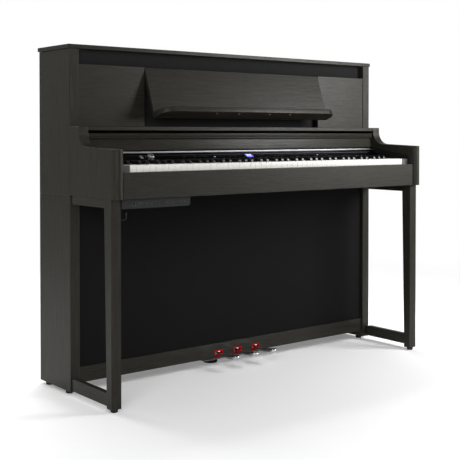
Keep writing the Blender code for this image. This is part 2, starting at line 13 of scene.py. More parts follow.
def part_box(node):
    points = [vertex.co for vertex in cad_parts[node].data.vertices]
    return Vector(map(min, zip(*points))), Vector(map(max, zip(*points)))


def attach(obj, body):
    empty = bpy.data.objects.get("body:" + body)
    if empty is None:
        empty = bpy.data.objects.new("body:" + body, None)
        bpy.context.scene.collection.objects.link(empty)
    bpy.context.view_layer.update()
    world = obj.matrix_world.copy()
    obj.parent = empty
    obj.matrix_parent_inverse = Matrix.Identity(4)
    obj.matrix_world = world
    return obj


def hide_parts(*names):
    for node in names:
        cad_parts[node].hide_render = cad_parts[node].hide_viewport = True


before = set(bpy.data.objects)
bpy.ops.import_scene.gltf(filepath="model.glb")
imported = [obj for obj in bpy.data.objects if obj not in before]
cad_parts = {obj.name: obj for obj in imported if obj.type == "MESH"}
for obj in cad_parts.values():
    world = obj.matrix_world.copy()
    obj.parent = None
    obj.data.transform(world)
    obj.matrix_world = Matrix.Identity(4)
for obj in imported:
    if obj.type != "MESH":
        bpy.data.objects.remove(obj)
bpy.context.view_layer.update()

MM = 0.001
TURN = 2 * math.pi
# Lengths are from the case's mid depth, 6 mm behind the CAD's origin. piece() puts them in place.
DATUM = Vector((0, 6 * MM, 0))


def box(node):
    """Lowest and highest corner of a CAD node, measured from the case's mid depth."""
    low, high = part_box(node)
    return Vector(low) - DATUM, Vector(high) - DATUM


# Keyboard
WHITE_KEYS = 52
WHITE_PITCH = 23.5 * MM
WHITE_GAP = 0.7 * MM
KEY_FRONT = box("key_c4")[0].y
KEY_BACK = box("key_c4")[1].y
WHITE_UNDER = box("key_c4")[0].z
WHITE_TOP = box("key_c4")[1].z
BLACK_FRONT = -163 * MM
BLACK_BACK = -65 * MM
BLACK_HALF = 5.5 * MM
BLACK_HEIGHT = 12 * MM
SLOT_HALF = BLACK_HALF + 0.8 * MM
BLACK_SHIFT = {"C": -2.5 * MM, "D": 2.5 * MM, "F": -3.5 * MM, "G": 0.0, "A": 3.5 * MM}
NOTES = "ABCDEFG"
FREE_KEYS = (23, 29)

# Music rest, whose shapes are worked out upright and then tipped forward about its top edge
REST_PIVOT = np.array([0.0, 31 * MM, 1052 * MM])
REST_TILT = math.radians(-19.5)


# ---- shapes -------------------------------------------------------------------------------
def loft(rings, caps=True):
    """Skin over closed rings: rings[i, j] is point j of ring i, and point j joins j + 1 round the ring."""
    count, around = rings.shape[:2]
    i, j = np.meshgrid(np.arange(count - 1), np.arange(around), indexing="ij")
    k = (j + 1) % around
    quads = np.stack([i * around + j, i * around + k, (i + 1) * around + k, (i + 1) * around + j], -1)
    faces = quads.reshape(-1, 4).tolist()
    if caps:
        faces.append(list(range(around - 1, -1, -1)))
        faces.append(list(range((count - 1) * around, count * around)))
    return rings.reshape(-1, 3), faces


def inset(outline, distance):
    """Move every side of a closed outline inwards by a distance, each corner along its mitre."""
    ahead = np.roll(outline, -1, 0) - outline
    ahead /= np.linalg.norm(ahead, axis=1, keepdims=True)
    behind = np.roll(ahead, 1, 0)
    area = np.sum(outline[:, 0] * np.roll(outline[:, 1], -1) - outline[:, 1] * np.roll(outline[:, 0], -1))
    sign = 1 if area > 0 else -1
    normal_ahead = sign * np.stack([-ahead[:, 1], ahead[:, 0]], 1)
    normal_behind = sign * np.stack([-behind[:, 1], behind[:, 0]], 1)
    scale = 1 + np.sum(normal_ahead * normal_behind, 1, keepdims=True)
    return outline + distance * (normal_ahead + normal_behind) / np.maximum(scale, 0.2)


def slab(outline, low, high, edge, axis="z", steps=3, edge_low=None):
    """Carry an outline along an axis from low to high. Both ends are rounded: at angle a of a quarter
    turn the outline is inset by edge * (1 - cos a) and stands edge * (1 - sin a) inside the end."""
    outline = np.asarray(outline, float)
    edge_low = edge if edge_low is None else edge_low
    angles = np.linspace(0, math.pi / 2, steps + 1)
    levels = [(low + edge_low * (1 - math.sin(a)), edge_low * (1 - math.cos(a))) for a in angles[::-1]]
    levels += [(high - edge * (1 - math.sin(a)), edge * (1 - math.cos(a))) for a in angles]
    flat = np.stack([inset(outline, depth) for _, depth in levels])
    along = np.broadcast_to(np.array([level for level, _ in levels])[:, None, None], flat.shape[:2] + (1,))
    order = {"x": [2, 0, 1], "y": [0, 2, 1], "z": [0, 1, 2]}[axis]
    return loft(np.concatenate([flat, along], -1)[..., order])


def rectangle(u, v):
    """Corners of a rectangle between u = (low, high) and v = (low, high)."""
    return [(u[0], v[0]), (u[1], v[0]), (u[1], v[1]), (u[0], v[1])]


def rounded(u, v, radius, steps=6):
    """Rectangle with round corners: each corner is a quarter circle about a point radius inside it."""
    points = []
    corners = [(u[1], v[1], 0), (u[0], v[1], 1), (u[0], v[0], 2), (u[1], v[0], 3)]
    for cu, cv, quarter in corners:
        a = (quarter + np.linspace(0, 1, steps + 1)) * math.pi / 2
        su = radius if cu == u[0] else -radius
        sv = radius if cv == v[0] else -radius
        points.append(np.stack([cu + su + radius * np.cos(a), cv + sv + radius * np.sin(a)], 1))
    return np.concatenate(points)


def block(x, y, z, edge, axis="z"):
    """Rectangular block between three (low, high) pairs with rounded edges."""
    pairs = {"x": (y, z, x), "y": (x, z, y), "z": (x, y, z)}[axis]
    corner = min(edge, 0.49 * (pairs[0][1] - pairs[0][0]), 0.49 * (pairs[1][1] - pairs[1][0]))
    return slab(rounded(pairs[0], pairs[1], corner, 3), *pairs[2], 0.7 * corner, axis)


def arc(centre, radius, start, end, steps=6):
    """Points on a circle between two angles in degrees."""
    a = np.radians(np.linspace(start, end, steps + 1))
    return np.stack([centre[0] + radius * np.cos(a), centre[1] + radius * np.sin(a)], 1)


def aligned(points, centre, axis):
    """Turn points from +Z onto an axis and move them to a centre."""
    w = np.asarray(axis, float) / np.linalg.norm(axis)
    helper = np.array([1.0, 0, 0]) if abs(w[0]) < 0.9 else np.array([0, 1.0, 0])
    u = np.cross(helper, w)
    u /= np.linalg.norm(u)
    return points @ np.stack([u, np.cross(w, u), w]) + np.asarray(centre, float)


def turned(profile, centre, axis, around=48, ribs=0, rib_depth=0.0):
    """Spin a (radius, height) profile about an axis. Ribs push the radius out and in by
    rib_depth * cos(ribs * angle) wherever the profile's third value is 1."""
    profile = np.array([tuple(p) + (0,) * (3 - len(p)) for p in profile], float)
    angle = np.linspace(0, TURN, around, endpoint=False)
    radius = profile[:, :1] + rib_depth * profile[:, 2:] * np.cos(ribs * angle)[None]
    height = np.broadcast_to(profile[:, 1:2], radius.shape)
    rings = np.stack([radius * np.cos(angle), radius * np.sin(angle), height], -1)
    return loft(aligned(rings, centre, axis))


def curve_through(points, count):
    """Catmull-Rom curve through points: each span blends its two end points and their neighbours'
    slopes with cubic weights."""
    p = np.asarray(points, float)
    p = np.concatenate([2 * p[:1] - p[1:2], p, 2 * p[-1:] - p[-2:-1]])
    t = np.linspace(0, len(p) - 3 - 1e-9, count)
    i = t.astype(int)
    f = (t - i)[:, None]
    a, b, c, d = p[i], p[i + 1], p[i + 2], p[i + 3]
    return 0.5 * (2 * b + (c - a) * f + (2 * a - 5 * b + 4 * c - d) * f ** 2
                  + (3 * b - a - 3 * c + d) * f ** 3)


def tube(path, radius, sides=16):
    """Sweep a circle along a path that stays in one plane: each ring lies across the path's
    direction, and its ends close in a small dome."""
    path = np.asarray(path, float)
    direction = np.gradient(path, axis=0)
    direction /= np.linalg.norm(direction, axis=1, keepdims=True)
    normal = np.cross(direction[0], direction[len(path) // 2])
    if np.linalg.norm(normal) < 1e-6:
        normal = np.cross(direction[0], [0.3, 0.9, 0.2])
    normal /= np.linalg.norm(normal)
    across = np.cross(direction, normal)
    a = np.linspace(0, TURN, sides, endpoint=False)
    ring = across[:, None] * np.cos(a)[None, :, None] + normal[None, None] * np.sin(a)[None, :, None]
    dome = np.linspace(0, math.pi / 2, 4)[1:]
    body = path[:, None] + radius * ring
    first = [path[0] - direction[0] * radius * 0.6 * math.sin(d) + ring[0] * radius * math.cos(d)
             for d in dome[::-1]]
    last = [path[-1] + direction[-1] * radius * 0.6 * math.sin(d) + ring[-1] * radius * math.cos(d)
            for d in dome]
    return loft(np.concatenate([np.stack(first), body, np.stack(last)]))


def tipped(shell):
    """Tip a shell of the upright music rest forward: a turn about X through its top edge."""
    points, faces = shell
    c, s = math.cos(REST_TILT), math.sin(REST_TILT)
    local = points - REST_PIVOT
    moved = np.stack([local[:, 0], c * local[:, 1] - s * local[:, 2], s * local[:, 1] + c * local[:, 2]], 1)
    return moved + REST_PIVOT, faces


def piece(name, shells, material, body, nodes=(), crease=32):
    """Make one piece from closed shells, smooth except where faces meet at more than crease degrees."""
    points, faces, start = [], [], 0
    for shell_points, shell_faces in shells:
        points.append(shell_points)
        faces += [[start + i for i in face] for face in shell_faces]
        start += len(shell_points)
    mesh = bpy.data.meshes.new(name)
    mesh.from_pydata((np.concatenate(points) + DATUM).tolist(), [], faces)
    body_mesh = bmesh.new()
    body_mesh.from_mesh(mesh)
    bmesh.ops.remove_doubles(body_mesh, verts=body_mesh.verts, dist=1e-7)
    bmesh.ops.dissolve_degenerate(body_mesh, edges=body_mesh.edges, dist=1e-8)
    bmesh.ops.recalc_face_normals(body_mesh, faces=body_mesh.faces)
    body_mesh.to_mesh(mesh)
    body_mesh.free()
    mesh.shade_smooth()
    mesh.set_sharp_from_angle(angle=math.radians(crease))
    mesh.materials.append(material)
    thing = bpy.data.objects.new(name, mesh)
    bpy.context.scene.collection.objects.link(thing)
    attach(thing, body)
    if nodes:
        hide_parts(*nodes)
    return thing


# ---- materials ----------------------------------------------------------------------------
def colour(code):
    """sRGB hex code to a linear RGBA value."""
    channels = [int(code[i:i + 2], 16) / 255 for i in (0, 2, 4)]
    return (*[c / 12.92 if c <= 0.04045 else ((c + 0.055) / 1.055) ** 2.4 for c in channels], 1.0)


def add(tree, kind, inputs=None, **settings):
    """Add one node. inputs gives each socket a value or another node's output."""
    made = tree.nodes.new(kind)
    for key, value in settings.items():
        setattr(made, key, value)
    for socket, value in (inputs or {}).items():
        if isinstance(value, bpy.types.NodeSocket):
            tree.links.new(value, made.inputs[socket])
        else:
            made.inputs[socket].default_value = value
    return made


def start(name, **values):
    """Start a material: returns it, its node tree and its Principled shader with the given values."""
    material = bpy.data.materials.new(name)
    material.use_nodes = True
    tree = material.node_tree
    shader = tree.nodes["Principled BSDF"]
    for key, value in values.items():
        shader.inputs[key.replace("_", " ")].default_value = value
    return material, tree, shader


def grain(tree, along, place):
    """Wood pattern with its length along one axis. Returns a slow figure and fine pores, both 0 to 1:
    noise stretched 25 times along the grain, 4 mm wide for the figure and 1.1 mm for the pores."""
    stretch = {"x": (1, 25, 25), "y": (25, 1, 25), "z": (25, 25, 1)}[along]
    figure_map = add(tree, "ShaderNodeMapping", {"Vector": place, "Scale": [10 * s for s in stretch]})
    figure = add(tree, "ShaderNodeTexNoise", {"Vector": figure_map.outputs[0], "Scale": 1.0, "Detail": 4.0,
                                              "Roughness": 0.62, "Distortion": 0.35})
    pore_map = add(tree, "ShaderNodeMapping", {"Vector": place, "Scale": [36 * s for s in stretch],
                                               "Location": (3.1, 1.7, 5.3)})
    pores = add(tree, "ShaderNodeTexNoise", {"Vector": pore_map.outputs[0], "Scale": 1.0, "Detail": 2.0,
                                             "Roughness": 0.5})
    return figure.outputs["Fac"], pores.outputs["Fac"]


def laminate(name, along, dark="211f1a", light="302f28", rail_from=None):
    """Charcoal oak melamine foil pressed on board: an embossed grain that catches light as fine
    streaks, satin between the pores. rail_from is the Y where a frame's level rails start."""
    material, tree, shader = start(name, Roughness=0.4, Specular_IOR_Level=0.22)
    place = add(tree, "ShaderNodeTexCoord").outputs["Object"]
    figure, pores = grain(tree, along, place)
    if rail_from is not None:
        rail_figure, rail_pores = grain(tree, "y", place)
        y = add(tree, "ShaderNodeSeparateXYZ", {0: place}).outputs["Y"]
        on_rail = add(tree, "ShaderNodeMath", {0: y, 1: rail_from}, operation="GREATER_THAN").outputs[0]
        figure = add(tree, "ShaderNodeMix", {0: on_rail, 2: figure, 3: rail_figure}).outputs[0]
        pores = add(tree, "ShaderNodeMix", {0: on_rail, 2: pores, 3: rail_pores}).outputs[0]
    streak = add(tree, "ShaderNodeMapRange", {"Value": figure, "From Min": 0.34, "From Max": 0.66}).outputs[0]
    pore = add(tree, "ShaderNodeMapRange", {"Value": pores, "From Min": 0.56, "From Max": 0.68}).outputs[0]
    tone = add(tree, "ShaderNodeMix", {0: streak, 6: colour(dark), 7: colour(light)},
            data_type="RGBA").outputs[2]
    pored = add(tree, "ShaderNodeMix", {0: pore, 6: tone, 7: colour("191814")}, data_type="RGBA").outputs[2]
    tree.links.new(pored, shader.inputs["Base Color"])
    rough = add(tree, "ShaderNodeMapRange", {"Value": streak, "To Min": 0.44, "To Max": 0.36}).outputs[0]
    tree.links.new(rough, shader.inputs["Roughness"])
    height = add(tree, "ShaderNodeMath", {0: streak, 1: pore}, operation="SUBTRACT").outputs[0]
    bump = add(tree, "ShaderNodeBump", {"Strength": 0.35, "Distance": 0.25 * MM, "Height": height})
    tree.links.new(bump.outputs[0], shader.inputs["Normal"])
    return material


def speckled(name, base, other, size, rough, depth, amount=1.0, **values):
    """Even surface with a fine random texture: noise grains of the given size in metres shift the
    colour between two close tones and raise the surface by depth."""
    material, tree, shader = start(name, **values)
    place = add(tree, "ShaderNodeTexCoord").outputs["Object"]
    noise = add(tree, "ShaderNodeTexNoise",
            {"Vector": place, "Scale": 1 / size, "Detail": 3.0}).outputs["Fac"]
    spread = add(tree, "ShaderNodeMapRange", {"Value": noise, "From Min": 0.35, "From Max": 0.65}).outputs[0]
    tone = add(tree, "ShaderNodeMix", {0: spread, 6: colour(base), 7: colour(other)},
            data_type="RGBA").outputs[2]
    tree.links.new(tone, shader.inputs["Base Color"])
    satin = add(tree, "ShaderNodeMapRange",
            {"Value": spread, "To Min": rough[0], "To Max": rough[1]}).outputs[0]
    tree.links.new(satin, shader.inputs["Roughness"])
    bump = add(tree, "ShaderNodeBump", {"Strength": 0.3 * amount, "Distance": depth, "Height": spread})
    tree.links.new(bump.outputs[0], shader.inputs["Normal"])
    return material


def brushed(name, base, other, along, width, rough, metallic=1.0, depth=0.02 * MM):
    """Surface with straight fine lines: noise stretched 60 times along the brushing, lines of the
    given width in metres."""
    material, tree, shader = start(name, Metallic=metallic)
    place = add(tree, "ShaderNodeTexCoord").outputs["Object"]
    stretch = {"x": (1 / 60, 1, 1), "y": (1, 1 / 60, 1), "z": (1, 1, 1 / 60)}[along]
    mapped = add(tree, "ShaderNodeMapping",
            {"Vector": place, "Scale": [s / width for s in stretch]}).outputs[0]
    lines = add(tree, "ShaderNodeTexNoise", {"Vector": mapped, "Scale": 1.0, "Detail": 2.0}).outputs["Fac"]
    spread = add(tree, "ShaderNodeMapRange", {"Value": lines, "From Min": 0.35, "From Max": 0.65}).outputs[0]
    tone = add(tree, "ShaderNodeMix", {0: spread, 6: colour(base), 7: colour(other)},
            data_type="RGBA").outputs[2]
    tree.links.new(tone, shader.inputs["Base Color"])
    satin = add(tree, "ShaderNodeMapRange",
            {"Value": spread, "To Min": rough[0], "To Max": rough[1]}).outputs[0]
    tree.links.new(satin, shader.inputs["Roughness"])
    bump = add(tree, "ShaderNodeBump", {"Strength": 0.3, "Distance": depth, "Height": spread})
    tree.links.new(bump.outputs[0], shader.inputs["Normal"])
    return material


def woven(name, base, other, pitch):
    """Speaker cloth glued over board: two sine waves at right angles, one thread every pitch metres,
    drawn about twice as coarse as the real cloth so that it shows."""
    material, tree, shader = start(name, Roughness=0.85, Specular_IOR_Level=0.2)
    place = add(tree, "ShaderNodeTexCoord").outputs["Object"]
    parts = add(tree, "ShaderNodeSeparateXYZ", {0: place})
    waves = []
    for axis in ("X", "Z"):
        turns = add(tree, "ShaderNodeMath", {0: parts.outputs[axis], 1: math.pi / pitch},
                operation="MULTIPLY")
        waves.append(add(tree, "ShaderNodeMath", {0: turns.outputs[0]}, operation="SINE").outputs[0])
    cross = add(tree, "ShaderNodeMath", {0: waves[0], 1: waves[1]}, operation="MULTIPLY").outputs[0]
    thread = add(tree, "ShaderNodeMapRange", {"Value": cross, "From Min": -1.0, "From Max": 1.0}).outputs[0]
    noise = add(tree, "ShaderNodeTexNoise", {"Vector": place, "Scale": 90.0, "Detail": 3.0}).outputs["Fac"]
    mixed = add(tree, "ShaderNodeMath", {0: thread, 1: noise}, operation="MULTIPLY").outputs[0]
    tone = add(tree, "ShaderNodeMix", {0: mixed, 6: colour(base), 7: colour(other)},
            data_type="RGBA").outputs[2]
    tree.links.new(tone, shader.inputs["Base Color"])
    bump = add(tree, "ShaderNodeBump", {"Strength": 0.5, "Distance": 0.15 * MM, "Height": thread})
    tree.links.new(bump.outputs[0], shader.inputs["Normal"])
    return material


def glowing(name, base, light, strength):
    """Print that gives off its own light as a mottled colour: back-lit behind a clear panel for the display
    and the white marks, and a faint painted glow on the grey printed marks.
    """
    material, tree, shader = start(name, Roughness=0.15)
    place = add(tree, "ShaderNodeTexCoord").outputs["Object"]
    noise = add(tree, "ShaderNodeTexNoise", {"Vector": place, "Scale": 160.0, "Detail": 1.0}).outputs["Fac"]
    tone = add(tree, "ShaderNodeMix", {0: noise, 6: colour(base), 7: colour(light)},
            data_type="RGBA").outputs[2]
    tree.links.new(tone, shader.inputs["Base Color"])
    tree.links.new(tone, shader.inputs["Emission Color"])
    shader.inputs["Emission Strength"].default_value = strength
    return material


FOIL_UPRIGHT = laminate("Melamine foil, grain upright", "z")
FOIL_LEVEL = laminate("Melamine foil, grain level", "x")
FOIL_FRAME = laminate("Melamine foil, mitred leg frame", "z", rail_from=-178 * MM)
# Matt black foil: even and nearly black, with the faint orange peel of a pressed sheet.
BLACK_FOIL = speckled("Matt black foil", "0e0e0e", "141414", 3 * MM, (0.7, 0.8), 0.05 * MM,
        Specular_IOR_Level=0.1)
RAW_BOARD = speckled("Raw edge board, black dyed", "151515", "1f1f1f", 1.2 * MM, (0.8, 0.95), 0.3 * MM)
CLOTH = woven("Speaker cloth, polyester weave", "111112", "262628", 1.3 * MM)
# Gloss ABS: a moulded strip that reflects like glass, with only dust-fine waviness.
GLOSS = speckled("Gloss ABS, moulded", "030303", "050505", 8 * MM, (0.12, 0.18), 0.01 * MM,
        Specular_IOR_Level=0.15)
ANODISED = brushed("Anodised aluminium, brushed", "8c8c90", "9f9fa3", "x", 0.5 * MM, (0.38, 0.5))
# Acrylic resin key tops: off-white, faintly streaked along the key like ivory.
RESIN = brushed("Acrylic resin, ivory streaked", "f4f2ea", "faf9f4", "y", 0.7 * MM, (0.3, 0.38), 0.0)
EBONY = brushed("Phenolic resin, ebony streaked", "070707", "0e0e0e", "y", 0.6 * MM, (0.22, 0.3), 0.0)
# Satin ABS end blocks: mid grey, spark-eroded texture.
SATIN_GREY = speckled("Satin grey ABS, spark eroded", "464647", "525253", 0.8 * MM, (0.38, 0.48), 0.05 * MM)
JACK_GREY = speckled("Grey ABS, spark eroded", "1f1f20", "282829", 0.9 * MM, (0.42, 0.55), 0.06 * MM,
                     Specular_IOR_Level=0.25)
BLACK_ABS = speckled("Black ABS, moulded", "0c0c0c", "131313", 0.9 * MM, (0.35, 0.5), 0.04 * MM)
SILVER_ABS = speckled("Silver painted ABS", "bfc0c4", "cccdd0", 0.7 * MM, (0.22, 0.3), 0.02 * MM,
        Metallic=0.7)
CHROME = speckled("Chrome plated brass, polished", "d9dadc", "e3e4e6", 14 * MM, (0.04, 0.1), 0.01 * MM,
        Metallic=1.0)
STEEL = brushed("Zinc plated steel", "84878a", "9b9ea1", "x", 0.9 * MM, (0.3, 0.42))
CLIP_STEEL = brushed("Black nickel steel, satin", "2f3032", "3c3d40", "x", 0.6 * MM, (0.28, 0.38))
BRASS = speckled("Brass, lacquered", "c8953f", "e0b060", 2 * MM, (0.25, 0.35), 0.01 * MM, Metallic=0.55)
RUBBER = speckled("Black rubber, moulded", "0d0d0d", "151515", 1.0 * MM, (0.65, 0.8), 0.08 * MM)
# Wool felt: matt, fuzzy and evenly dyed.
RED_FELT = speckled("Wool felt, red", "a00208", "c8040c", 0.8 * MM, (0.9, 1.0), 0.3 * MM,
        Specular_IOR_Level=0.1)
PAPER_CONE = speckled("Pressed paper cone", "161616", "202020", 2 * MM, (0.7, 0.9), 0.15 * MM)
CIRCUIT = speckled("Lacquered circuit board", "12402a", "1c5236", 4 * MM, (0.25, 0.4), 0.03 * MM)
GLASS = speckled("Display glass", "0a0a16", "101024", 9 * MM, (0.03, 0.06), 0.005 * MM, Coat_Weight=0.6)
DISPLAY_BLUE = glowing("Back-lit display, blue violet", "2a22c8", "4b45f0", 1.6)
PRINT_WHITE = glowing("Back-lit print, white", "b9bccb", "e4e6f2", 0.55)
# Grey printed marks on the panel and the jack box, with a faint painted glow: print that gives off light of
# its own though it is no lamp.
GREY_PRINT_PAINTED_GLOW = glowing("Printed touch mark, grey, with painted glow", "5a5a62", "74747c", 0.12)

NODE_FINISH = {
    "side_panel_upper_left": FOIL_UPRIGHT, "side_panel_upper_right": FOIL_UPRIGHT,
    "side_panel_lower_left": FOIL_UPRIGHT, "side_panel_lower_right": FOIL_UPRIGHT,
    "leg_frame_left": FOIL_FRAME, "leg_frame_right": FOIL_FRAME,
    "top_board": FOIL_LEVEL, "front_panel_left": FOIL_LEVEL, "front_panel_right": FOIL_LEVEL,
    "key_shelf": FOIL_LEVEL, "key_slip": FOIL_LEVEL, "cover_panel": FOIL_LEVEL, "music_rest": FOIL_LEVEL,
    "pedal_rail": FOIL_LEVEL, "speaker_baffle": CLOTH, "knee_panel": BLACK_FOIL, "back_panel": RAW_BOARD,
    "keybed": RAW_BOARD, "key_block_left": SATIN_GREY, "key_block_right": SATIN_GREY,
    "control_panel": GLOSS, "panel_trim_strip": GLOSS, "key_frame": STEEL, "cover_shaft": STEEL,
    "pedal_bracket": STEEL, "jack_box": JACK_GREY, "power_inlet": BLACK_ABS, "main_board": CIRCUIT,
}
for node_name, finish in NODE_FINISH.items():
    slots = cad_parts[node_name].data.materials
    slots.clear()
    slots.append(finish)


# ---- case and arms ------------------------------------------------------------------------
def arm_section(inner, outer, low, high, corner, notch):
    """One upright cross-section of an arm: a rectangle with two rounded top corners, and on its inner
    side a notch, 9 mm high, as deep as given."""
    side = 1 if outer > inner else -1
    top_inner = arc((inner + side * corner, high - corner), corner, 180 if side > 0 else 0, 90, 4)
    top_outer = arc((outer - side * corner, high - corner), corner, 90, 0 if side > 0 else 180, 4)
    floor = min(825.4 * MM, high - 4 * corner)
    ceiling = min(834.6 * MM, high - 3 * corner)
    mouth = [(inner, floor), (inner + side * notch, floor), (inner + side * notch, ceiling), (inner, ceiling)]
    step = (2 * corner) * np.array([0, 1])
    return np.concatenate([[(inner, low)], mouth, top_inner[:1] - step, top_inner, top_outer,
            top_outer[-1:] - step,
                           [(outer, low)]])


def arm(side):
    """Arm as sections from back to front: level top, a hollow quarter turn, a long gentle slope and a
    half-round nose whose half width is the radius times the cosine of the angle turned."""
    node = f"arm_{'left' if side < 0 else 'right'}"
    low, high = box(node)
    inner, outer = (high.x, low.x) if side < 0 else (low.x, high.x)
    middle, half = (inner + outer) / 2, abs(outer - inner) / 2
    neck, bend, turn_top = -29 * MM, 50 * MM, 793 * MM
    hollow = arc((neck - bend, turn_top + bend), bend, 0, -90, 16)
    slope_end = 786.6 * MM
    stations = [(high.y, high.z, 1.0, 1), (-24 * MM, high.z, 1.0, 1), (-24 * MM, high.z, 1.0, 0),
                (neck + 1.5 * MM, high.z, 1.0, 0), (neck + 0.4 * MM, high.z - 0.4 * MM, 1.0, 0),
                (neck, high.z - 1.5 * MM, 1.0, 0)]
    stations += [(y, z, 1.0, 0) for y, z in hollow]
    for angle in np.radians(np.linspace(0, 90, 19)):
        y = low.y + half * (1 - math.sin(angle))
        ease = (y - hollow[-1][0]) / (low.y - hollow[-1][0])
        stations.append((y, turn_top + (slope_end - turn_top) * ease, max(math.cos(angle), 0.02), 0))
    rings = []
    for y, top, width, notched in stations:
        a, b = middle + (inner - middle) * width, middle + (outer - middle) * width
        section = arm_section(a, b, low.z, top, 1.4 * MM * max(width, 0.05), 5 * MM * notched)
        rings.append(np.stack([section[:, 0], np.full(len(section), y), section[:, 1]], 1))
    piece(node + "_board", [loft(np.stack(rings))], FOIL_UPRIGHT, "case", (node,), 40)
    build_cheek(side, inner)


def build_cheek(side, inner):
    """Dark liner on an arm's inner face: a thin slab under a long slope that curls down at the front."""
    outline = [(-34, 775), (-36, 741), (-100, 741), (-212, 741), (-219, 734), (-222, 741), (-218, 747),
            (-209, 750.5),
               (-195, 752)]
    outline = np.array(outline) * MM
    faces = sorted((inner, inner - side * 1.1 * MM))
    liner = slab(outline, *faces, 0.4 * MM, "x", 2)
    bead_line = np.array([(-34, 776.6), (-80, 770), (-140, 761.2), (-196, 753.2), (-212, 750),
            (-221, 743), (-225.5, 731),
                          (-229, 719.5)]) * MM
    path = curve_through(bead_line, 60)
    path = np.stack([np.full(len(path), inner - side * 0.6 * MM), path[:, 0], path[:, 1]], 1)
    word = "left" if side < 0 else "right"
    piece(f"cheek_liner_{word}", [liner, tube(path, 0.9 * MM, 10)], BLACK_ABS, "case")


def build_case():
    """Arms, foot caps under the side boards, leg glides and the back's screws."""
    for side in (-1, 1):
        word = "left" if side < 0 else "right"
        arm(side)
        caps = []
        for y in (65 * MM, 200 * MM):
            profile = [(0, 0), (9.5 * MM, 0), (11.6 * MM, 1.5 * MM), (11.6 * MM, 11 * MM),
                    (11 * MM, 11.9 * MM), (0, 11.9 * MM)]
            caps.append(turned(profile, (side * 666 * MM, y, 0), (0, 0, 1), 40))
        piece(f"side_feet_{word}", caps, RUBBER, "case")
        glide = [(0, 0), (8.6 * MM, 0), (9.6 * MM, 0.4 * MM), (11.2 * MM, 2.6 * MM),
                (11.5 * MM, 3.6 * MM), (11.5 * MM, 9 * MM),
                 (10.8 * MM, 9.7 * MM), (0, 9.7 * MM)]
        piece(f"glide_{word}", [turned(glide, (side * 666 * MM, -208 * MM, 0), (0, 0, 1), 48)], RUBBER,
              "case", (f"foot_glide_{word}",))
    back = box("back_panel")[1]
    screws = []
    for x in np.linspace(-620, 620, 8) * MM:
        for z in (75 * MM, 660 * MM, back.z - 12 * MM):
            screws.append(turned(screw_profile(3.6 * MM), (x, back.y, z), (0, 1, 0), 20))
    piece("back_screws", screws, STEEL, "case")


def screw_profile(radius):
    """Round head, a quarter as high as it is wide, with a dished socket in the middle."""
    r = radius
    return [(0, -0.1 * r), (r, -0.1 * r), (r, 0.15 * r), (0.82 * r, 0.4 * r), (0.5 * r, 0.52 * r),
            (0.42 * r, 0.5 * r),
            (0.36 * r, 0.2 * r), (0, 0.2 * r)]


# ---- keyboard -----------------------------------------------------------------------------
def white_span(index):
    """X range of a white key, counted from the bass end."""
    left = (index - WHITE_KEYS / 2) * WHITE_PITCH
    return left + WHITE_GAP / 2, left + WHITE_PITCH - WHITE_GAP / 2


def black_centre(index):
    """Middle of the black key that follows a white key, or None."""
    if not 0 <= index < WHITE_KEYS - 1:
        return None
    shift = BLACK_SHIFT.get(NOTES[index % 7])
    return None if shift is None else (index + 1 - WHITE_KEYS / 2) * WHITE_PITCH + shift


def white_key(index):
    """White key: a head as wide as its pitch and a tail between the black keys' slots, with softly
    rounded top edges."""
    low, high = white_span(index)
    above, below = black_centre(index), black_centre(index - 1)
    tail_low = low if below is None else max(low, below + SLOT_HALF)
    tail_high = high if above is None else min(high, above - SLOT_HALF)
    shoulder = BLACK_FRONT - 1.2 * MM
    outline = [(low, KEY_FRONT + 0.3 * MM), (low + 0.5 * MM, KEY_FRONT), (high - 0.5 * MM, KEY_FRONT),
               (high, KEY_FRONT + 0.3 * MM)]
    if tail_high < high:
        outline += [(high, shoulder), (tail_high, shoulder)]
    outline += [(tail_high, KEY_BACK), (tail_low, KEY_BACK)]
    if tail_low > low:
        outline += [(tail_low, shoulder), (low, shoulder)]
    return slab(outline, WHITE_UNDER, WHITE_TOP, 0.7 * MM, "z", 3, 0.2 * MM)


def black_key(centre):
    """Black key: upright sections from front to back. The top rises as a sine to the power 0.75 over
    the first 7 mm, the sides lean in by 0.9 mm, and the top corners are rounded."""
    stations = [(BLACK_FRONT + 7 * MM * (1 - math.cos(a)), BLACK_HEIGHT * math.sin(a) ** 0.75)
                for a in np.linspace(0.12, math.pi / 2, 12)]
    stations += [(BLACK_BACK - 0.3 * MM, BLACK_HEIGHT), (BLACK_BACK, 0.93 * BLACK_HEIGHT),
            (BLACK_BACK + 0.1 * MM, -1 * MM),
                 (KEY_BACK, -1 * MM)]
    rings = []
    for y, rise in stations:
        corner = 1.3 * MM * min(1, max(rise, 2 * MM) / BLACK_HEIGHT)
        lean = 0.9 * MM * max(rise, 0) / BLACK_HEIGHT
        half, top = BLACK_HALF - lean, WHITE_TOP + rise
        right = arc((half - corner, top - corner), corner, 0, 90, 4)
        left = right[::-1] * (-1, 1)
        section = np.concatenate([[(-BLACK_HALF, WHITE_UNDER), (BLACK_HALF, WHITE_UNDER),
                                   (BLACK_HALF, WHITE_TOP - 3 * MM)], right, left,
                                   [(-BLACK_HALF, WHITE_TOP - 3 * MM)]])
        rings.append(np.stack([centre + section[:, 0], np.full(len(section), y), section[:, 1]], 1))
    return loft(np.stack(rings))


